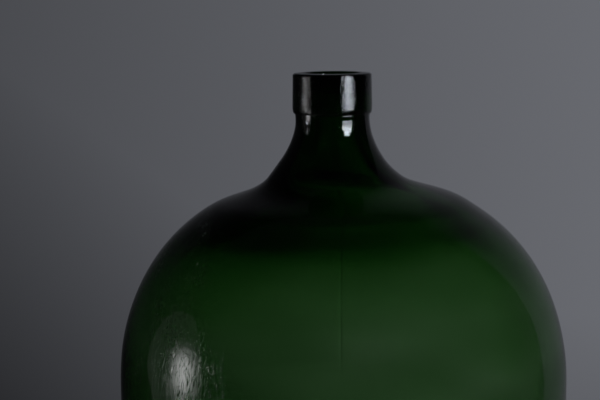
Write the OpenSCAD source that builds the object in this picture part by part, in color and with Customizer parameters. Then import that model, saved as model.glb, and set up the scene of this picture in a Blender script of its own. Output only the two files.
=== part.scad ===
// Glass carboy: a mould-blown, deep green storage vessel with a round shoulder, a flared neck
// that stands a little off centre, and a thick collar applied round its mouth.
// Millimetres. +Z is up; the origin is the centre of the ring that the vessel rests on.

/* [Body] */
// Overall height, from the resting ring to the rim
total_h = 550; // [500:1:600]
// Outer radius of the straight wall
body_r = 200; // [196:0.5:206]
// Radius of the heel, where the wall turns in to the base
heel_r = 62; // [45:1:75]
// Outer radius of the flat ring that the vessel rests on
rest_r = 142; // [136:1:148]
// Width of the resting ring
rest_w = 10; // [6:1:14]
// Height of the pushed-up base at its centre
punt_h = 34; // [20:1:45]

/* [Shoulder and flare] */
// Depth below the rim where the shoulder joins the straight wall
shoulder_depth = 274; // [268:1:282]
// Radius at the crown of the shoulder, where it meets the flare
crown_r = 113.6; // [110:0.2:117]
// Depth of the crown below the rim
crown_depth = 116; // [114:0.5:118]
// Radius halfway down the flare
flare_r = 60.3; // [58:0.1:63]
// Depth of that place below the rim
flare_depth = 93; // [91:0.5:95]

/* [Neck and mouth] */
// Outer radius of the neck where it leaves the collar
neck_r = 33; // [32.4:0.1:33.4]
// Distance by which the neck stands off the body's axis, towards -X
neck_offset = 8; // [0:0.5:10]
// Radius of the mouth
mouth_r = 23.5; // [21:0.1:24]
// Height of the collar
collar_h = 36; // [32:0.5:40]
// Outer radius of the collar at its top
collar_top_r = 34.8; // [34.4:0.1:35.4]
// Outer radius of the collar at its foot
collar_foot_r = 35.3; // [34.6:0.1:36]
// Depth of the mouth that lies in the collar alone, above the end of the neck
mouth_depth = 14; // [10:0.5:18]

/* [Glass] */
// Thickness of the straight wall
wall_t = 3.2; // [3:0.1:5]
// Thickness at the crown and in the flare
crown_t = 11; // [10:0.5:15]
// How far below the crown the extra thickness has halved
crown_fall = 23; // [10:1:40]
// Thickness at the heel and the base
base_t = 9; // [7:0.5:11]
// Radius of the neck's bore, below the mouth
neck_bore_r = 20.5; // [19:0.1:23]
// Depth below the rim at which the mouth has narrowed to that bore
throat_depth = 28; // [22:1:34]

/* [Hidden] */

vessel_colour = [0.05, 0.16, 0.08, 0.85];
collar_colour = [0.03, 0.11, 0.05, 0.95];

// Sides of the vessel's rings
sides = 56;
// Rings along each stretch of the outline
flare_steps = 9;
crown_steps = 5;
shoulder_steps = 10;
heel_steps = 6;
punt_steps = 4;
// Points along each rounded edge of the collar
edge_steps = 5;

// The neck narrows slightly below the collar: angles from the vertical, outwards and down
neck_lean = -5;
flare_lean = 47;
crown_lean = 60.5;
// Lengths of the Bezier handles either side of each joint of the outline
neck_reach = 20;
flare_reach = [23, 13];
crown_reach = [17.5, 30];
wall_reach = 100;

// Heights between which the rings slide over to the neck's axis
shift_low = total_h - 120;
shift_high = total_h - 78;
// The crown bulges slightly towards +X, around this height
crown_bulge = 5.4;
bulge_z = total_h - 106.5;
bulge_spread = 7.3;

// The end of the neck, inside the collar
neck_end_z = total_h - mouth_depth;
neck_end_r = 32.8;
collar_socket_r = 33;
collar_foot_z = total_h - collar_h;
// How far above the collar's foot the neck has drawn in to its end's radius
neck_draw = 0.5;
// The neck's end stands back from the mouth by this much
mouth_step = 0.4;

// Radii of the collar's rounded edges
rim_edge_r = 1.8;
mouth_edge_r = 2.5;
foot_edge_r = 2.4;
// How far the rounding of the collar's foot turns under
foot_turn = 75;
// Sides of the collar where it is drawn as a mesh
collar_sides = 96;

// ---- curves ----

function ease(t) = let (u = min(1, max(0, t))) u * u * (3 - 2 * u);

function lean_dir(angle) = [sin(angle), -cos(angle)];

function bezier(p, t) =
    pow(1 - t, 3) * p[0] + 3 * pow(1 - t, 2) * t * p[1]
    + 3 * (1 - t) * t * t * p[2] + pow(t, 3) * p[3];

// Points of a Bezier stretch, without its first
function stretch(p, steps) = [for (i = [1 : steps]) bezier(p, i / steps)];

// Points of an arc, from angle a to angle b
function arc(centre, r, a, b, steps) =
    [for (i = [0 : steps]) let (q = a + (b - a) * i / steps) centre + r * [cos(q), sin(q)]];

// ---- outline of the vessel, [radius, height], from the neck down to the base ----

neck_pt = [neck_r, collar_foot_z];
flare_pt = [flare_r, total_h - flare_depth];
crown_pt = [crown_r, total_h - crown_depth];
wall_pt = [body_r, total_h - shoulder_depth];

flare_upper = [
    neck_pt,
    neck_pt + neck_reach * lean_dir(neck_lean),
    flare_pt - flare_reach[0] * lean_dir(flare_lean),
    flare_pt
];
flare_lower = [
    flare_pt,
    flare_pt + flare_reach[1] * lean_dir(flare_lean),
    crown_pt - crown_reach[0] * lean_dir(crown_lean),
    crown_pt
];
shoulder = [
    crown_pt,
    crown_pt + crown_reach[1] * lean_dir(crown_lean),
    wall_pt + [0, wall_reach],
    wall_pt
];

// The heel is a quarter ellipse from the wall to the resting ring
function heel(t) = [rest_r + (body_r - rest_r) * sin(90 * t), heel_r * (1 - cos(90 * t))];

// The base rises to its centre in a smooth dome
function punt(r) = punt_h * ease(1 - r / (rest_r - rest_w));

outer_outline = concat(
    [neck_pt],
    stretch(flare_upper, flare_steps),
    stretch(flare_lower, crown_steps),
    stretch(shoulder, shoulder_steps),
    [for (i = [heel_steps : -1 : 0]) heel(i / heel_steps)],
    [for (i = [0 : punt_steps - 1])
        let (r = (rest_r - rest_w) * (1 - i / punt_steps)) [r, punt(r)]]
);

// ---- glass thickness, and the inner outline ----

function thickness(z) =
    wall_t
    + (crown_t - wall_t) / (1 + pow(max(0, crown_pt[1] - z) / crown_fall, 2))
    + (neck_r - neck_bore_r - crown_t) * ease((z - crown_pt[1]) / (neck_pt[1] - crown_pt[1]))
    + (base_t - wall_t) * ease(1 - z / heel_r);

function unit(v) = v / norm(v);

// Inner point for place i of the outline: the outer point moved in along its normal
function inner_point(i) =
    let (
        last = len(outer_outline) - 1,
        p = outer_outline[i],
        run = unit(outer_outline[min(last, i + 1)] - outer_outline[max(0, i - 1)])
    )
    p + thickness(p[1]) * [run[1], -run[0]];

inner_outline = [for (i = [1 : len(outer_outline) - 1]) inner_point(i)];

// ---- the vessel, as rings of points joined into one closed skin ----

// Sideways place of the ring at height z
function ring_x(z) =
    -neck_offset * ease((z - shift_low) / (shift_high - shift_low))
    + crown_bulge * exp(-pow((z - bulge_z) / bulge_spread, 2));

function ring(p) =
    [for (k = [0 : sides - 1])
        let (q = 360 * k / sides) [ring_x(p[1]) + p[0] * cos(q), p[0] * sin(q), p[1]]];

// From the middle of the base's underside, up the outside, over the neck's end and down inside
skin_path = concat(
    [for (i = [len(outer_outline) - 1 : -1 : 0]) outer_outline[i]],
    [[neck_end_r, collar_foot_z + neck_draw], [neck_end_r, neck_end_z]],
    [[mouth_r + mouth_step, neck_end_z], [neck_bore_r, total_h - throat_depth]],
    inner_outline
);
rings = len(skin_path);
under_pole = rings * sides;
floor_pole = under_pole + 1;

skin_points = concat(
    [for (p = skin_path) each ring(p)],
    [[0, 0, punt_h], [0, 0, punt_h + base_t]]
);

skin_faces = concat(
    [for (j = [0 : rings - 2]) for (k = [0 : sides - 1])
        let (a = j * sides + k, b = j * sides + (k + 1) % sides)
        each [[a, a + sides, b + sides], [a, b + sides, b]]],
    [for (k = [0 : sides - 1]) [under_pole, k, (k + 1) % sides]],
    [for (k = [0 : sides - 1])
        let (last = (rings - 1) * sides) [floor_pole, last + (k + 1) % sides, last + k]]
);

module glass_vessel() {
    color(vessel_colour)
        polyhedron(points = skin_points, faces = skin_faces, convexity = 10);
}

// ---- the collar, turned about the neck's own axis ----

collar_section = concat(
    [[collar_socket_r, collar_foot_z], [collar_socket_r, neck_end_z], [mouth_r, neck_end_z]],
    arc([mouth_r + mouth_edge_r, total_h - mouth_edge_r], mouth_edge_r, 180, 90, edge_steps),
    arc([collar_top_r - rim_edge_r, total_h - rim_edge_r], rim_edge_r, 90, 0, edge_steps),
    arc([collar_foot_r - foot_edge_r, collar_foot_z + foot_edge_r], foot_edge_r, 0, -foot_turn, edge_steps)
);

module neck_collar() {
    color(collar_colour)
        translate([-neck_offset, 0, 0])
            rotate_extrude($fn = collar_sides)
                polygon(collar_section);
}

glass_vessel();
neck_collar();
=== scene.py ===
"""Glass carboy: the looks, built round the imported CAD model. Lengths are in metres."""

import math

import bpy
import numpy as np
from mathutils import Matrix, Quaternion, Vector


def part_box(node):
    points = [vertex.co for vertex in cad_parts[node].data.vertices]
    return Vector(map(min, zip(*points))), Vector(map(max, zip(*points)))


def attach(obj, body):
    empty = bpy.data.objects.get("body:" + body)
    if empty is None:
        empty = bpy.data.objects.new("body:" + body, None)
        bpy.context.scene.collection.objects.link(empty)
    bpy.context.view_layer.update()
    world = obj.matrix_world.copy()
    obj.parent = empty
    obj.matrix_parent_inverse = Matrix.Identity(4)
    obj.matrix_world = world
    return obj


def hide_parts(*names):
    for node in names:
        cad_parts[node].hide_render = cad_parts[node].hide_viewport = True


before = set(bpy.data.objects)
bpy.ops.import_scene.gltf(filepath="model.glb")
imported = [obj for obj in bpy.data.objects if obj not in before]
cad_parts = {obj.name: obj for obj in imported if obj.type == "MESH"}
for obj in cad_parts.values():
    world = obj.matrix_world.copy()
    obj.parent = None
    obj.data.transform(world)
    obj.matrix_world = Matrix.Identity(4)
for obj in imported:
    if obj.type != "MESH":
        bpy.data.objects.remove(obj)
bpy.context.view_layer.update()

MM = 0.001

# ---- sizes that the CAD model gives ----

vessel_low, vessel_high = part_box("glass_vessel")
collar_low, collar_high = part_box("neck_collar")

TOTAL_H = collar_high.z
BODY_R = (vessel_high.x - vessel_low.x) / 2
NECK_END_Z = vessel_high.z
COLLAR_FOOT_Z = collar_low.z
COLLAR_FOOT_R = (collar_high.x - collar_low.x) / 2
NECK_X = (collar_high.x + collar_low.x) / 2

# ---- the outline's other sizes, as in the CAD source ----

HEEL_R = 62 * MM
REST_R = 142 * MM
REST_W = 10 * MM
PUNT_H = 34 * MM

WALL_TOP = (BODY_R, TOTAL_H - 274 * MM)
CROWN = (113.6 * MM, TOTAL_H - 116 * MM)
FLARE = (60.3 * MM, TOTAL_H - 93 * MM)
NECK = (33 * MM, COLLAR_FOOT_Z)
NECK_LEAN, FLARE_LEAN, CROWN_LEAN = -5, 47, 60.5
NECK_REACH = 20 * MM
FLARE_REACH = (23 * MM, 13 * MM)
CROWN_REACH = (17.5 * MM, 30 * MM)
WALL_REACH = 100 * MM

SHIFT_LOW = TOTAL_H - 120 * MM
SHIFT_HIGH = TOTAL_H - 78 * MM
CROWN_BULGE = 5.4 * MM
BULGE_Z = TOTAL_H - 106.5 * MM
BULGE_SPREAD = 7.3 * MM

NECK_END_R = 32.8 * MM
NECK_DRAW = 0.5 * MM
MOUTH_R = 23.5 * MM
NECK_BORE_R = 20.5 * MM
THROAT_DEPTH = 28 * MM
MOUTH_STEP = 0.4 * MM
SOCKET_R = 33 * MM
COLLAR_TOP_R = 34.8 * MM
RIM_EDGE_R = 1.8 * MM
MOUTH_EDGE_R = 2.5 * MM
FOOT_EDGE_R = 2.4 * MM

WALL_T = 3.2 * MM
CROWN_T = 11 * MM
CROWN_FALL = 23 * MM
BASE_T = 9 * MM

# ---- sizes that only the visual model has ----

# Steps along the flare, the crown, the shoulder, the wall, the heel and the base's dome
OUTSIDE_STEPS = (36, 18, 50, 26, 16, 12)
INSIDE_STEPS = (22, 10, 30, 14, 12, 10)
VESSEL_SIDES = 280
COLLAR_SIDES = 420
# Steps along the collar's rounded edges, its socket, its mouth, its rim's top and its outside
EDGE_STEPS = 8
SOCKET_STEPS = 6
MOUTH_STEPS = 8
RIM_STEPS = 10
COLLAR_STEPS = 44
# Angles either side of each mould line where the rings have extra points
SEAM_OFFSETS = np.radians([0.1, 0.22, 0.4, 0.7])
# The rings start at this angle, so that no even one falls on a mould line's own
RING_START = 0.001

# The neck runs straight on for this much past the collar's foot before it draws in
NECK_RUN_ON = 0.02 * MM
# How far the corners of the neck's end, of its mouth and of the throat are cut back
END_CORNER = 1 * MM
END_CORNER_MIDDLE = (0.3 * MM, 0.2 * MM)
MOUTH_CORNER = 0.6 * MM
THROAT_CORNER = (0.4 * MM, 2 * MM)

# The collar's socket ends this far above the neck, and its foot's rounding turns this far under
SOCKET_GAP = 0.05 * MM
FOOT_TURN = 80
# The collar draws in towards its foot by FOOT_DRAW, below one height and above another
FOOT_DRAW = 0.6 * MM
FOOT_DRAW_TOP = 6 * MM
FOOT_DRAW_START = 1.5 * MM
# The rim's top falls away by RIM_DROP, from one distance outside the mouth, over another
RIM_DROP = 0.8 * MM
RIM_DROP_FROM = 3.5 * MM
RIM_DROP_OVER = 6.5 * MM

# ---- curves ----


def ease(t):
    t = np.clip(t, 0, 1)
    return t * t * (3 - 2 * t)


def lean_dir(degrees):
    """The way down and outwards at that angle from the vertical."""
    a = math.radians(degrees)
    return np.array([math.sin(a), -math.cos(a)])


def bezier(points, steps):
    """Points of a cubic Bezier, its first left out."""
    t = (np.arange(1, steps + 1) / steps)[:, None]
    a, b, c, d = (np.array(p) for p in points)
    return (1 - t) ** 3 * a + 3 * (1 - t) ** 2 * t * b + 3 * (1 - t) * t**2 * c + t**3 * d


def arc(centre, radius, start, end, steps):
    q = np.radians(np.linspace(start, end, steps + 1))
    return np.array(centre) + radius * np.stack([np.cos(q), np.sin(q)], axis=1)


def line(a, b, steps):
    """Points along a straight stretch, both ends left out."""
    t = (np.arange(1, steps) / steps)[:, None]
    return np.array(a) + t * (np.array(b) - np.array(a))


def normals_of(path):
    """Unit normals of a path of [radius, height], to the left of its run."""
    run = np.gradient(path, axis=0)
    run /= np.linalg.norm(run, axis=1)[:, None]
    return np.stack([run[:, 1], -run[:, 0]], axis=1)


def ring_x(z):
    """Sideways place of the vessel's ring at height z."""
    shift = NECK_X * ease((z - SHIFT_LOW) / (SHIFT_HIGH - SHIFT_LOW))
    return shift + CROWN_BULGE * np.exp(-(((z - BULGE_Z) / BULGE_SPREAD) ** 2))


def thickness(z):
    """Thickness of the glass at height z of the outer outline."""
    crown = (CROWN_T - WALL_T) / (1 + (np.maximum(0, CROWN[1] - z) / CROWN_FALL) ** 2)
    neck = (NECK[0] - NECK_BORE_R - CROWN_T) * ease((z - CROWN[1]) / (NECK[1] - CROWN[1]))
    return WALL_T + crown + neck + (BASE_T - WALL_T) * ease(1 - z / HEEL_R)


def vessel_outline(flare_steps, crown_steps, shoulder_steps, wall_steps, heel_steps, punt_steps):
    """The vessel's outer outline from the neck down to near the base's middle."""
    neck, flare, crown, wall = (np.array(p) for p in (NECK, FLARE, CROWN, WALL_TOP))
    upper = [
        neck,
        neck + NECK_REACH * lean_dir(NECK_LEAN),
        flare - FLARE_REACH[0] * lean_dir(FLARE_LEAN),
        flare,
    ]
    lower = [
        flare,
        flare + FLARE_REACH[1] * lean_dir(FLARE_LEAN),
        crown - CROWN_REACH[0] * lean_dir(CROWN_LEAN),
        crown,
    ]
    shoulder = [
        crown,
        crown + CROWN_REACH[1] * lean_dir(CROWN_LEAN),
        wall + np.array([0, WALL_REACH]),
        wall,
    ]
    q = np.linspace(math.pi / 2, 0, heel_steps + 1)
    heel = np.stack([REST_R + (BODY_R - REST_R) * np.sin(q), HEEL_R * (1 - np.cos(q))], axis=1)
    inner_r = REST_R - REST_W
    dome_r = inner_r * (1 - np.arange(0, punt_steps) / punt_steps)
    dome = np.stack([dome_r, PUNT_H * ease(1 - dome_r / inner_r)], axis=1)
    return np.concatenate([
        [neck],
        bezier(upper, flare_steps),
        bezier(lower, crown_steps),
        bezier(shoulder, shoulder_steps),
        line(wall, heel[0], wall_steps),
        heel,
        dome,
    ])


# ---- unevenness of blown glass ----

SEED = 11
random = np.random.default_rng(SEED)


def ripples(count, turns, heights, size):
    """A smooth uneven field over angle and height: count waves, whose whole turns round the axis and
    whose heights (metres) lie in the given ranges, with the given root mean square size."""
    n = random.integers(turns[0], turns[1] + 1, count)
    k = 2 * math.pi / random.uniform(heights[0], heights[1], count)
    k *= random.choice([-1, 1], count)
    phase = random.uniform(0, 2 * math.pi, count)
    gain = size * math.sqrt(2 / count)

    def field(angle, z):
        total = np.zeros(np.broadcast(angle, z).shape)
        for a, b, c in zip(n, k, phase):
            total += np.sin(a * angle + b * z + c)
        return gain * total

    return field


outer_waves = ripples(count=10, turns=(1, 5), heights=(0.10, 0.30), size=0.25 * MM)
inner_waves = ripples(count=14, turns=(1, 9), heights=(0.05, 0.20), size=0.2 * MM)
peel_coarse = ripples(count=24, turns=(14, 40), heights=(0.006, 0.016), size=0.022 * MM)
peel_fine = ripples(count=40, turns=(50, 110), heights=(0.0025, 0.005), size=0.026 * MM)

SEAM_ANGLES = np.radians([-92.1, 90.0])
SEAM_H = 0.13 * MM
SEAM_W = 0.9 * MM
# A mould line's share of that height low down, what it gains above, where, and over what height
SEAM_SHARE = 0.6
SEAM_GAIN = 1.4
SEAM_GAIN_Z = 330 * MM
SEAM_GAIN_OVER = 60 * MM
# The glass is thinner towards +X and thicker towards -X: by this much in the straight wall, and by
# this share of what the crown adds to it
WALL_LEAN = 0.9 * MM
CROWN_LEAN_SHARE = 0.42
# Two upright thick places in the wall, this far round from +X
RIDGE_T = 1.0 * MM
RIDGE_ANGLE, RIDGE_SPREAD = math.radians(30), math.radians(10)

# The outside is even up to SKIN_START, and grows uneven over these distances from there, from the
# collar's foot and from the widest wall. This near that wall, its waves only sink in
SKIN_START = 2 * MM
SKIN_REST_FADE = 20 * MM
SKIN_NECK_FADE = 12 * MM
SKIN_WALL_FADE = 3 * MM
SEAM_WALL_FADE = 4 * MM
SINK_ONLY = 1 * MM
# The same for the inside, and how far below the flare's middle the crown's lean is whole
WITHIN_START = 20 * MM
WITHIN_REST_FADE = 30 * MM
WITHIN_NECK_FADE = 25 * MM
LEAN_FADE = 20 * MM
# The tooled skin of the collar: where it starts above the foot, how it fades below the rim, and its
# least distance inside the foot's widest ring
TOOLED_START = 1 * MM
TOOLED_RIM_FADE = 1.5 * MM
TOOLED_MARGIN = 0.02 * MM
# Nearer the axis than this far outside the socket, it has this share
TOOLED_OUTSIDE = 1 * MM
TOOLED_IN_MOUTH = 0.5


def seam(angle, r):
    """The raised lines that the two halves of the mould leave."""
    height = 0
    for at in SEAM_ANGLES:
        away = (angle - at + math.pi) % (2 * math.pi) - math.pi
        height = height + SEAM_H * np.exp(-((away * r / SEAM_W) ** 2))
    return height


# ---- turned meshes ----


def ring_angles(count, close_to=(), offsets=()):
    """Angles round a ring, with more of them close to some places."""
    even = np.linspace(-math.pi, math.pi, count, endpoint=False) + RING_START
    extra = [at + side * o for at in close_to for o in offsets for side in (-1, 1)]
    extra += list(close_to)
    wrapped = (np.array(extra) + math.pi) % (2 * math.pi) - math.pi
    return np.unique(np.round(np.concatenate([even, wrapped]), 7))


def turned_mesh(name, path, angles, centre_x, raise_by, closed, poles=()):
    """A mesh of rings: path's [radius, height] points turned round a vertical axis whose place at
    height z is centre_x(z), each point moved along the path's normal by raise_by(i, angle, r, z).
    closed joins the last ring to the first; poles are the two end points of an open path."""
    out = normals_of(path)
    angle = angles[None, :]
    r, z = path[:, 0][:, None], path[:, 1][:, None]
    lift = raise_by(np.arange(len(path))[:, None], angle, r, z) * np.ones_like(angle)
    rr, zz = r + lift * out[:, 0][:, None], z + lift * out[:, 1][:, None]
    x = centre_x(z) + rr * np.cos(angle)
    y = rr * np.sin(angle)
    points = np.stack([x, y, zz * np.ones_like(angle)], axis=2).reshape(-1, 3)
    n = len(angles)
    rows = len(path) if closed else len(path) - 1
    faces = []
    for j in range(rows):
        a = j * n + np.arange(n)
        b = ((j + 1) % len(path)) * n + np.arange(n)
        faces.append(np.stack([a, np.roll(a, -1), np.roll(b, -1), b], axis=1))
    faces = np.concatenate(faces).tolist()
    points = points.tolist()
    for pole, ring in zip(poles, (0, len(path) - 1)):
        points.append(pole)
        tip = len(points) - 1
        for k in range(n):
            a, b = ring * n + k, ring * n + (k + 1) % n
            faces.append([tip, b, a] if ring == 0 else [tip, a, b])
    mesh = bpy.data.meshes.new(name)
    mesh.from_pydata(points, [], faces)
    mesh.validate()
    for polygon in mesh.polygons:
        polygon.use_smooth = True
    piece = bpy.data.objects.new(name, mesh)
    bpy.context.scene.collection.objects.link(piece)
    return piece


def make_vessel():
    """The blown vessel: its outside from the base up, the neck's end, and its inside down again."""
    outer = vessel_outline(*OUTSIDE_STEPS)
    coarse = vessel_outline(*INSIDE_STEPS)
    inward = normals_of(coarse) * thickness(coarse[:, 1])[:, None]
    inner = (coarse + inward)[1:]
    mouth_r = MOUTH_R + MOUTH_STEP
    throat_z = TOTAL_H - THROAT_DEPTH
    neck_end = np.array([
        [NECK[0], COLLAR_FOOT_Z + NECK_RUN_ON],
        [NECK_END_R, COLLAR_FOOT_Z + NECK_DRAW],
        [NECK_END_R, NECK_END_Z - END_CORNER],
        [NECK_END_R - END_CORNER_MIDDLE[0], NECK_END_Z - END_CORNER_MIDDLE[1]],
        [NECK_END_R - END_CORNER, NECK_END_Z],
        [mouth_r + END_CORNER, NECK_END_Z],
        [mouth_r, NECK_END_Z - MOUTH_CORNER],
        [NECK_BORE_R + THROAT_CORNER[0], throat_z + THROAT_CORNER[1]],
        [NECK_BORE_R, throat_z - THROAT_CORNER[1]],
    ])
    path = np.concatenate([outer[::-1], neck_end, inner])
    n_outer, n_neck = len(outer), len(neck_end)

    def raise_by(i, angle, r, z):
        inset, below_collar = BODY_R - r, COLLAR_FOOT_Z - z
        waves = outer_waves(angle, z)
        waves = np.where(inset < SINK_ONLY, np.minimum(waves, 0), waves) * ease(inset / SKIN_WALL_FADE)
        line_h = SEAM_SHARE + SEAM_GAIN * ease((z - SEAM_GAIN_Z) / SEAM_GAIN_OVER)
        line_h = line_h * ease(inset / SEAM_WALL_FADE)
        free = ease((z - SKIN_START) / SKIN_REST_FADE) * ease(below_collar / SKIN_NECK_FADE)
        skin = free * (waves + seam(angle, r) * line_h)
        lean = CROWN_LEAN_SHARE * (thickness(z) - WALL_T) * ease((FLARE[1] - z) / LEAN_FADE)
        ridge = RIDGE_T * np.exp(-(((np.abs(angle) - RIDGE_ANGLE) / RIDGE_SPREAD) ** 2))
        uneven = ridge - (WALL_LEAN + lean) * np.cos(angle)
        within = (inner_waves(angle, z) + uneven) * ease((z - WITHIN_START) / WITHIN_REST_FADE)
        within = within * ease(below_collar / WITHIN_NECK_FADE)
        return np.where(i < n_outer, skin, np.where(i < n_outer + n_neck, 0, within))

    angles = ring_angles(VESSEL_SIDES, SEAM_ANGLES, SEAM_OFFSETS)
    poles = [(0, 0, PUNT_H), (0, 0, PUNT_H + BASE_T)]
    return turned_mesh("vessel", path, angles, ring_x, raise_by, False, poles)


def make_collar():
    """The ring of glass round the neck's end, from its socket over the rim to its foot."""
    socket_z = NECK_END_Z + SOCKET_GAP
    mouth_mid = [MOUTH_R + MOUTH_EDGE_R, TOTAL_H - MOUTH_EDGE_R]
    rim_mid = [COLLAR_TOP_R - RIM_EDGE_R, TOTAL_H - RIM_EDGE_R]
    foot_mid = [COLLAR_FOOT_R - FOOT_EDGE_R, COLLAR_FOOT_Z + FOOT_EDGE_R]
    section = np.concatenate([
        line([SOCKET_R, COLLAR_FOOT_Z], [SOCKET_R, socket_z], SOCKET_STEPS),
        line([SOCKET_R, socket_z], [MOUTH_R, socket_z], SOCKET_STEPS),
        line([MOUTH_R, socket_z], [MOUTH_R, mouth_mid[1]], MOUTH_STEPS),
        arc(mouth_mid, MOUTH_EDGE_R, 180, 90, EDGE_STEPS),
        line([mouth_mid[0], TOTAL_H], [rim_mid[0], TOTAL_H], RIM_STEPS),
        arc(rim_mid, RIM_EDGE_R, 90, 0, EDGE_STEPS),
        line([COLLAR_TOP_R, rim_mid[1]], [COLLAR_FOOT_R, foot_mid[1]], COLLAR_STEPS),
        arc(foot_mid, FOOT_EDGE_R, 0, -FOOT_TURN, EDGE_STEPS),
    ])

    def raise_by(i, angle, r, z):
        # Nothing rises past the rim's top or the foot's widest ring
        above, below_rim = z - COLLAR_FOOT_Z, TOTAL_H - z
        tooled = peel_coarse(angle, z) + peel_fine(angle, z)
        tooled = tooled * ease(below_rim / TOOLED_RIM_FADE) * (above > TOOLED_START)
        tooled = tooled - FOOT_DRAW * ease(1 - above / FOOT_DRAW_TOP) * ease(above / FOOT_DRAW_START)
        near_top = ease(1 - below_rim / RIM_EDGE_R)
        tooled = tooled - RIM_DROP * near_top * ease((r - MOUTH_R - RIM_DROP_FROM) / RIM_DROP_OVER)
        outside = np.minimum(tooled, COLLAR_FOOT_R - r - TOOLED_MARGIN)
        return np.where(r > SOCKET_R + TOOLED_OUTSIDE, outside, tooled * TOOLED_IN_MOUTH)

    angles = ring_angles(COLLAR_SIDES)
    return turned_mesh("collar", section[::-1], angles, lambda z: NECK_X + 0 * z, raise_by, True)


# ---- materials ----


class Nodes:
    """A short way to write a node tree."""

    def __init__(self, tree):
        self.tree = tree
        tree.nodes.clear()

    def add(self, kind, **values):
        node = self.tree.nodes.new(kind)
        for key, value in values.items():
            if hasattr(node, key):
                setattr(node, key, value)
            else:
                node.inputs[key.replace("_", " ")].default_value = value
        return node

    def link(self, a, b):
        self.tree.links.new(a, b)

    def math(self, operation, a, b=None, c=None, clamp=False):
        node = self.tree.nodes.new("ShaderNodeMath")
        node.operation = operation
        node.use_clamp = clamp
        for socket, value in zip(node.inputs, (a, b, c)):
            if isinstance(value, bpy.types.NodeSocket):
                self.link(value, socket)
            elif value is not None:
                socket.default_value = value
        return node.outputs[0]

    def remap(self, value, low, high, to_low, to_high, smooth=True):
        node = self.tree.nodes.new("ShaderNodeMapRange")
        node.interpolation_type = "SMOOTHSTEP" if smooth else "LINEAR"
        self.link(value, node.inputs[0])
        for socket, number in zip(node.inputs[1:5], (low, high, to_low, to_high)):
            socket.default_value = number
        return node.outputs[0]

    def scaled(self, vector, scale):
        node = self.tree.nodes.new("ShaderNodeMapping")
        self.link(vector, node.inputs["Vector"])
        node.inputs["Scale"].default_value = scale
        return node.outputs[0]

    def noise(self, vector, scale, detail=2.0):
        node = self.tree.nodes.new("ShaderNodeTexNoise")
        self.link(vector, node.inputs["Vector"])
        node.inputs["Scale"].default_value = scale
        node.inputs["Detail"].default_value = detail
        return node.outputs[0]

    def bump(self, height, distance, normal=None):
        node = self.tree.nodes.new("ShaderNodeBump")
        self.link(height, node.inputs["Height"])
        node.inputs["Distance"].default_value = distance
        if normal is not None:
            self.link(normal, node.inputs["Normal"])
        return node.outputs[0]


GLASS_IOR = 1.52
# What a metre of the glass takes off in red, green and blue
ABSORBED = (288.0, 148.0, 326.0)
DENSITY = 1.1 * max(ABSORBED)
# The collar's glass is this many times as deep in colour
COLLAR_DEPTH = 2.2

# Noise scales across, across and upright: fine upright scratches, where they lie thick, and bands
HAIR_SCALE = (640, 640, 26)
WORN_SCALE = (26, 26, 9)
BAND_SCALE = (12, 12, 150)
# Levels of those noises between which the scratches appear and thicken
HAIR_LEVELS = (0.53, 0.62)
WORN_LEVELS = (0.42, 0.60)
WORN_LEAST = 0.15
# The rubbed patch: x where it comes in and goes out, y where it ends, and what is left beside it
RUBBED_IN = (-0.165, -0.155)
RUBBED_OUT = (-0.118, -0.110)
RUBBED_BACK = (-0.04, 0.0)
BESIDE_LEFT, BESIDE_RIGHT, BEHIND = 0.1, 0.08, 0.1
# Seeds: cells per metre, and a seed's radius as a share of a cell
SEED_SCALE = 30.0
SEED_SIZE = 0.035
# Roughness between the scratches, and what a scratch adds
SMOOTH, SCRATCHED = 0.002, 0.30
BAND_BUMP, SEED_BUMP, SCRATCH_BUMP = 0.00007, 0.0004, 0.0005

# The collar's tooled skin: its noise and bump, and the finer noise that its roughness follows
PEEL_SCALE, PEEL_BUMP = 640, 0.00022
FINE_SCALE = 1500
FINE_LEVELS = (0.3, 0.7)
COLLAR_ROUGHNESS = (0.015, 0.05)


def glass_material(name, surface, depth=1.0):
    """Deep green glass. surface(nodes, place) gives its roughness and its normal; depth tells how
    many times as deep its colour is."""
    material = bpy.data.materials.new(name)
    material.use_nodes = True
    nodes = Nodes(material.node_tree)
    shader = nodes.add("ShaderNodeBsdfPrincipled")
    shader.inputs["Base Color"].default_value = (1, 1, 1, 1)
    shader.inputs["IOR"].default_value = GLASS_IOR
    shader.inputs["Transmission Weight"].default_value = 1.0
    place = nodes.add("ShaderNodeTexCoord").outputs["Object"]
    roughness, normal = surface(nodes, place)
    nodes.link(roughness, shader.inputs["Roughness"])
    nodes.link(normal, shader.inputs["Normal"])
    volume = nodes.add("ShaderNodeVolumeAbsorption")
    volume.inputs["Color"].default_value = (*[1 - a / DENSITY for a in ABSORBED], 1)
    volume.inputs["Density"].default_value = DENSITY * depth
    out = nodes.add("ShaderNodeOutputMaterial")
    nodes.link(shader.outputs[0], out.inputs["Surface"])
    nodes.link(volume.outputs[0], out.inputs["Volume"])
    return material


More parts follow.
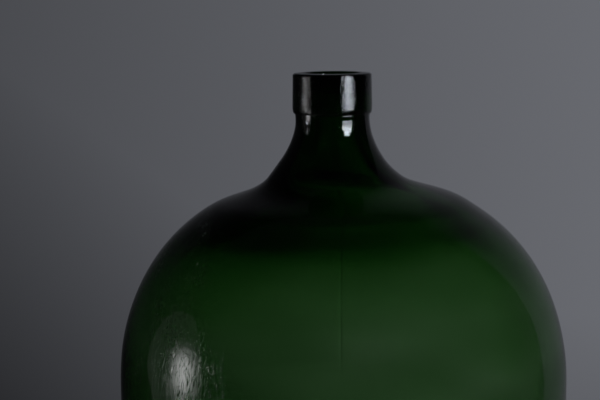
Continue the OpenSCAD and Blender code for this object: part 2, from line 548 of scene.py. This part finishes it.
def vessel_surface(nodes, place):
    """Smooth blown glass with faint bands, scattered seeds and a scratched patch."""
    hairs = nodes.noise(nodes.scaled(place, HAIR_SCALE), 1.0, 1.0)
    worn = nodes.noise(nodes.scaled(place, WORN_SCALE), 1.0, 2.0)
    worn = nodes.remap(worn, *WORN_LEVELS, WORN_LEAST, 1.0)
    scratches = nodes.math("MULTIPLY", nodes.remap(hairs, *HAIR_LEVELS, 0.0, 1.0), worn)
    # One side has rubbed against other vessels
    parts = nodes.add("ShaderNodeSeparateXYZ")
    nodes.link(place, parts.inputs[0])
    rubbed = nodes.math(
        "MULTIPLY",
        nodes.remap(parts.outputs[0], *RUBBED_IN, BESIDE_LEFT, 1.0),
        nodes.remap(parts.outputs[0], *RUBBED_OUT, 1.0, BESIDE_RIGHT),
    )
    rubbed = nodes.math("MULTIPLY", rubbed, nodes.remap(parts.outputs[1], *RUBBED_BACK, 1.0, BEHIND))
    scratches = nodes.math("MULTIPLY", scratches, rubbed)
    bands = nodes.noise(nodes.scaled(place, BAND_SCALE), 1.0, 2.0)
    roughness = nodes.math("MULTIPLY_ADD", scratches, SCRATCHED, SMOOTH)
    # Seeds: small bubbles that break the surface here and there
    cells = nodes.add("ShaderNodeTexVoronoi")
    nodes.link(place, cells.inputs["Vector"])
    cells.inputs["Scale"].default_value = SEED_SCALE
    seeds = nodes.remap(cells.outputs["Distance"], 0.0, SEED_SIZE, 1.0, 0.0)
    normal = nodes.bump(bands, BAND_BUMP)
    normal = nodes.bump(seeds, SEED_BUMP, normal)
    normal = nodes.bump(scratches, SCRATCH_BUMP, normal)
    return roughness, normal


def collar_surface(nodes, place):
    """Glass with a skin that tooling has left uneven."""
    peel = nodes.noise(place, PEEL_SCALE, 2.0)
    fine = nodes.noise(place, FINE_SCALE, 1.0)
    roughness = nodes.remap(fine, *FINE_LEVELS, *COLLAR_ROUGHNESS)
    return roughness, nodes.bump(peel, PEEL_BUMP)


# ---- the stage ----

# The backdrop's level far from the camera's view, in its middle, and how much it gains per degree
BACKDROP = 0.140
BACKDROP_MIDDLE = 0.105
BACKDROP_GAIN = 0.0029
BACKDROP_TINT = (0.965, 1.0, 1.12)
# It darkens low down, by DARK_SHARE over DARK_OVER degrees, from a depth of DARK_START degrees
# straight ahead, which changes by DARK_START_GAIN per degree of turn and is DARK_START_MOST at most
DARK_SHARE = 0.62
DARK_OVER = 13
DARK_START, DARK_START_GAIN, DARK_START_MOST = 11.35, 0.75, 12.5
# The turns and the rises, in degrees, between which it goes over to the level far off
FAR_TURNS = (12.5, 38)
FAR_RISES = (-40, -20)
# What the outside mirrors: the backdrop's ends and top in degrees, how square its arch is, and the
# share of the way out from its middle where its edge begins to soften
MIRROR_ENDS = (-64, 62)
MIRROR_TOP = 52
MIRROR_ROUND = 4
MIRROR_EDGE = 0.97
# Its levels at these two turns, and the dim room round it
MIRROR_TURNS = (-32, 22)
MIRROR_LEVELS = (0.011, 0.105)
SURROUND = 0.006
# It fades upwards from this rise to this share, and downwards between these rises to this share
MIRROR_FADE_RISE, MIRROR_TOP_SHARE = 3, 0.05
MIRROR_FOOT_RISES, MIRROR_FOOT_SHARE = (-16, 0), 0.75
# Low down it also loses this much at the left, none at the right
MIRROR_CORNER_TURNS = (-30, 10)
MIRROR_CORNER_LOSS = 0.6


def seen_backdrop(nodes, turn, rise):
    """The level behind the vessel: darker to the left, and darker still low down at the left."""
    level = nodes.math("MULTIPLY_ADD", turn, BACKDROP_GAIN, BACKDROP_MIDDLE)
    start = nodes.math("MULTIPLY_ADD", turn, DARK_START_GAIN, DARK_START)
    start = nodes.math("MINIMUM", start, DARK_START_MOST)
    low = nodes.math("SUBTRACT", nodes.math("MULTIPLY", rise, -1), start)
    low = nodes.math("MAXIMUM", nodes.math("DIVIDE", low, DARK_OVER), 0)
    level = nodes.math("MULTIPLY", level, nodes.math("MULTIPLY_ADD", low, -DARK_SHARE, 1))
    near = nodes.remap(nodes.math("ABSOLUTE", turn), *FAR_TURNS, 1, 0)
    near = nodes.math("MULTIPLY", near, nodes.remap(rise, *FAR_RISES, 0, 1))
    return nodes.math("MULTIPLY_ADD", near, nodes.math("SUBTRACT", level, BACKDROP), BACKDROP)


def mirrored_backdrop(nodes, turn, rise):
    """The level that the vessel's outside mirrors."""
    level = nodes.remap(turn, *MIRROR_TURNS, *MIRROR_LEVELS)
    upper = nodes.remap(rise, MIRROR_FADE_RISE, MIRROR_TOP, 1, MIRROR_TOP_SHARE, smooth=False)
    level = nodes.math("MULTIPLY", level, upper)
    corner = nodes.math(
        "MULTIPLY",
        nodes.remap(turn, *MIRROR_CORNER_TURNS, MIRROR_CORNER_LOSS, 0),
        nodes.remap(rise, *MIRROR_FOOT_RISES, 1, 0),
    )
    level = nodes.math("MULTIPLY", level, nodes.math("SUBTRACT", 1, corner))
    foot = nodes.remap(rise, *MIRROR_FOOT_RISES, MIRROR_FOOT_SHARE, 1)
    level = nodes.math("MULTIPLY", level, foot)
    # Its outline is a rounded arch: how far out a direction lies, 1 at the edge
    left, right = MIRROR_ENDS
    middle, half = (left + right) / 2, (right - left) / 2
    across = nodes.math("DIVIDE", nodes.math("ABSOLUTE", nodes.math("SUBTRACT", turn, middle)), half)
    up = nodes.math("DIVIDE", nodes.math("MAXIMUM", rise, 0), MIRROR_TOP)
    out = nodes.math("ADD", nodes.math("POWER", across, MIRROR_ROUND), nodes.math("POWER", up, MIRROR_ROUND))
    within = nodes.remap(out, MIRROR_EDGE, 1.0, 1, 0)
    return nodes.math("MULTIPLY_ADD", within, nodes.math("SUBTRACT", level, SURROUND), SURROUND)


def make_world():
    """A world with two looks: the plain backdrop, and what the glass's outside mirrors."""
    world = bpy.data.worlds.new("studio")
    world.use_nodes = True
    nodes = Nodes(world.node_tree)
    way = nodes.add("ShaderNodeTexCoord").outputs["Generated"]
    parts = nodes.add("ShaderNodeSeparateXYZ")
    nodes.link(way, parts.inputs[0])
    x, y, z = parts.outputs
    turn = nodes.math("MULTIPLY", nodes.math("ARCTAN2", x, y), 180 / math.pi)
    rise = nodes.math("MULTIPLY", nodes.math("ARCSINE", z), 180 / math.pi)
    seen = seen_backdrop(nodes, turn, rise)
    mirrored = mirrored_backdrop(nodes, turn, rise)
    path = nodes.add("ShaderNodeLightPath")
    # The plain backdrop is for camera rays, and for rays through the glass that nothing has mirrored
    unmirrored = nodes.math("LESS_THAN", path.outputs["Glossy Depth"], 0.5)
    through = nodes.math("MULTIPLY", path.outputs["Is Transmission Ray"], unmirrored)
    direct = nodes.math("MAXIMUM", path.outputs["Is Camera Ray"], through)
    level = nodes.math("MULTIPLY_ADD", direct, nodes.math("SUBTRACT", seen, mirrored), mirrored)
    colour = nodes.add("ShaderNodeVectorMath", operation="SCALE")
    colour.inputs[0].default_value = BACKDROP_TINT
    nodes.link(level, colour.inputs["Scale"])
    shade = nodes.add("ShaderNodeBackground")
    nodes.link(colour.outputs[0], shade.inputs["Color"])
    out = nodes.add("ShaderNodeOutputWorld")
    nodes.link(shade.outputs[0], out.inputs["Surface"])
    bpy.context.scene.world = world


FLOOR_R = 0.84
FLOOR_WHOLE_R = 0.42
FLOOR_COLOUR = (0.62, 0.62, 0.64, 1)
FLOOR_SIDES = 96


def make_floor():
    """A pale floor that fades out into the backdrop."""
    q = np.linspace(0, 2 * math.pi, FLOOR_SIDES, endpoint=False)
    points = [(FLOOR_R * math.cos(a), FLOOR_R * math.sin(a), 0) for a in q]
    mesh = bpy.data.meshes.new("floor")
    mesh.from_pydata(points, [], [list(range(FLOOR_SIDES))])
    floor = bpy.data.objects.new("floor", mesh)
    bpy.context.scene.collection.objects.link(floor)
    material = bpy.data.materials.new("pale_floor")
    material.use_nodes = True
    nodes = Nodes(material.node_tree)
    place = nodes.add("ShaderNodeTexCoord").outputs["Object"]
    length = nodes.add("ShaderNodeVectorMath", operation="LENGTH")
    nodes.link(place, length.inputs[0])
    fade = nodes.remap(length.outputs["Value"], FLOOR_WHOLE_R, FLOOR_R, 1, 0)
    board = nodes.add("ShaderNodeBsdfDiffuse")
    board.inputs["Color"].default_value = FLOOR_COLOUR
    clear = nodes.add("ShaderNodeBsdfTransparent")
    both = nodes.add("ShaderNodeMixShader")
    nodes.link(fade, both.inputs[0])
    nodes.link(clear.outputs[0], both.inputs[1])
    nodes.link(board.outputs[0], both.inputs[2])
    out = nodes.add("ShaderNodeOutputMaterial")
    nodes.link(both.outputs[0], out.inputs["Surface"])
    mesh.materials.append(material)


def area_light(name, place, target, size, power, spread=180):
    light = bpy.data.lights.new(name, "AREA")
    light.shape = "RECTANGLE"
    light.size, light.size_y = size
    light.energy = power
    light.spread = math.radians(spread)
    lamp = bpy.data.objects.new(name, light)
    lamp.location = place
    lamp.rotation_euler = (Vector(target) - Vector(place)).to_track_quat("-Z", "Y").to_euler()
    bpy.context.scene.collection.objects.link(lamp)
    lamp.visible_camera = False
    lamp.visible_transmission = False
    return lamp


# The panel stands upright at PANEL_X: an arch, in y and z, over a foot whose back corner is cut out
PANEL_X = -1.29
PANEL_MIDDLE = (0.0, 0.20)
PANEL_RADII = (0.48, 0.62)
PANEL_FOOT_Z = -0.4
PANEL_CUT_Y, PANEL_CUT_Z = 0.32, 0.07
PANEL_STEPS = 72
PANEL_LEVEL = 0.085
# The panel's hot spot: its place, its width, how far it reaches up and down, and its level
HOT_PLACE = (-0.20, 0.36)
HOT_WIDTH = 0.15
HOT_UP, HOT_DOWN = 0.11, 0.23
HOT_LEVEL = 5.4


def make_left_panel():
    """A large rounded panel at the left, dim but for one hot spot."""
    q = np.linspace(0, math.pi, PANEL_STEPS)
    y = PANEL_MIDDLE[0] + PANEL_RADII[0] * np.cos(q)
    z = PANEL_MIDDLE[1] + PANEL_RADII[1] * np.sin(q)
    arch = [(PANEL_X, float(b), float(c)) for b, c in zip(y, z)]
    foot = [
        (PANEL_X, arch[-1][1], PANEL_FOOT_Z),
        (PANEL_X, PANEL_CUT_Y, PANEL_FOOT_Z),
        (PANEL_X, PANEL_CUT_Y, PANEL_CUT_Z),
    ]
    points = arch + foot
    mesh = bpy.data.meshes.new("left_panel")
    mesh.from_pydata(points, [], [list(range(len(points)))])
    panel = bpy.data.objects.new("left_panel", mesh)
    bpy.context.scene.collection.objects.link(panel)
    material = bpy.data.materials.new("panel_light")
    material.use_nodes = True
    nodes = Nodes(material.node_tree)
    place = nodes.add("ShaderNodeTexCoord").outputs["Object"]
    parts = nodes.add("ShaderNodeSeparateXYZ")
    nodes.link(place, parts.inputs[0])
    across = nodes.math("DIVIDE", nodes.math("SUBTRACT", parts.outputs[1], HOT_PLACE[0]), HOT_WIDTH)
    rise = nodes.math("SUBTRACT", parts.outputs[2], HOT_PLACE[1])
    above = nodes.math("DIVIDE", nodes.math("MAXIMUM", rise, 0), HOT_UP)
    below = nodes.math("DIVIDE", nodes.math("MINIMUM", rise, 0), HOT_DOWN)
    away = nodes.math("MULTIPLY", across, across)
    for part in (above, below):
        away = nodes.math("MULTIPLY_ADD", part, part, away)
    glow = nodes.math("EXPONENT", nodes.math("MULTIPLY", away, -1))
    emit = nodes.add("ShaderNodeEmission")
    nodes.link(nodes.math("MULTIPLY_ADD", glow, HOT_LEVEL, PANEL_LEVEL), emit.inputs["Strength"])
    out = nodes.add("ShaderNodeOutputMaterial")
    nodes.link(emit.outputs[0], out.inputs["Surface"])
    mesh.materials.append(material)
    panel.visible_camera = False
    panel.visible_transmission = False
    panel.visible_diffuse = False


# The neck's lights: how far off they stand, how far below the rim they aim, and their colour
NECK_LIGHT_REACH = 0.6
NECK_LIGHT_DROP = 0.03
NECK_LIGHT_COLOUR = (0.85, 0.91, 1.0)
# The grid of them at the right: the turn and rise of its middle, its height and its beams' spread
GRID_TURN, GRID_RISE = 44.5, 4.5
GRID_HIGH = 30.0
GRID_SPREAD = 26
GRID_COLUMNS = 5
# From the lowest row up: the whole row's width, and each light's power
GRID_ROWS = ((27, 0.0015), (26, 0.0019), (26, 0.0034), (24, 0.0036), (15, 0.0022))


def neck_light(name, turn, rise, wide, high, power, spread):
    """A small narrow light aimed at the neck, turn degrees round from the front towards +X and rise
    degrees up, wide and high degrees across as the neck sees it."""
    target = Vector((NECK_X, 0, TOTAL_H - NECK_LIGHT_DROP))
    a, e = math.radians(turn), math.radians(rise)
    way = Vector((math.sin(a) * math.cos(e), -math.cos(a) * math.cos(e), math.sin(e)))
    size = [2 * NECK_LIGHT_REACH * math.tan(math.radians(d / 2)) for d in (wide, high)]
    lamp = area_light(name, target + NECK_LIGHT_REACH * way, target, size, power, spread)
    lamp.data.color = NECK_LIGHT_COLOUR
    lamp.visible_diffuse = False


def make_neck_lights():
    rows = len(GRID_ROWS)
    high = GRID_HIGH / rows
    for j, (row_wide, power) in enumerate(GRID_ROWS):
        wide = row_wide / GRID_COLUMNS
        rise = GRID_RISE + high * (j - (rows - 1) / 2)
        for i in range(GRID_COLUMNS):
            turn = GRID_TURN + wide * (i - (GRID_COLUMNS - 1) / 2)
            neck_light(f"neck_light_{i}_{j}", turn, rise, wide, high, power, GRID_SPREAD)
    neck_light("neck_light_left", turn=-88, rise=-2, wide=3, high=6, power=0.0026, spread=40)
    neck_light("neck_light_left_up", turn=-86, rise=9, wide=4, high=5, power=0.0007, spread=40)


def make_lights():
    make_left_panel()
    make_neck_lights()
    top = area_light("top_light", place=(0.3, -0.4, 2.2), target=(0, 0, 0), size=(1.6, 1.6), power=14)
    top.visible_glossy = False


LENS, SENSOR = 85.0, 36.0
CAMERA_PLACE = Vector((-37.25 * MM, -1252 * MM, TOTAL_H + 63.4 * MM))
CAMERA_PITCH = 8.03
CAMERA_ROLL = -0.5


def make_camera():
    """The camera, level but for a small pitch down and roll, along +Y."""
    data = bpy.data.cameras.new("camera")
    data.lens, data.sensor_width = LENS, SENSOR
    camera = bpy.data.objects.new("camera", data)
    camera.rotation_mode = "QUATERNION"
    a = math.radians(CAMERA_PITCH)
    ahead = Vector((0, math.cos(a), -math.sin(a)))
    turn = ahead.to_track_quat("-Z", "Y")
    camera.rotation_quaternion = turn @ Quaternion((0, 0, 1), math.radians(CAMERA_ROLL))
    camera.location = CAMERA_PLACE
    bpy.context.scene.collection.objects.link(camera)
    bpy.context.scene.camera = camera


# ---- build ----

make_camera()
make_world()
make_floor()
make_lights()

vessel = make_vessel()
vessel.data.materials.append(glass_material("vessel_glass", vessel_surface))
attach(vessel, "root")
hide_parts("glass_vessel")

collar = make_collar()
collar.data.materials.append(glass_material("collar_glass", collar_surface, COLLAR_DEPTH))
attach(collar, "root")
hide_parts("neck_collar")

bpy.context.scene.view_settings.view_transform = "Standard"
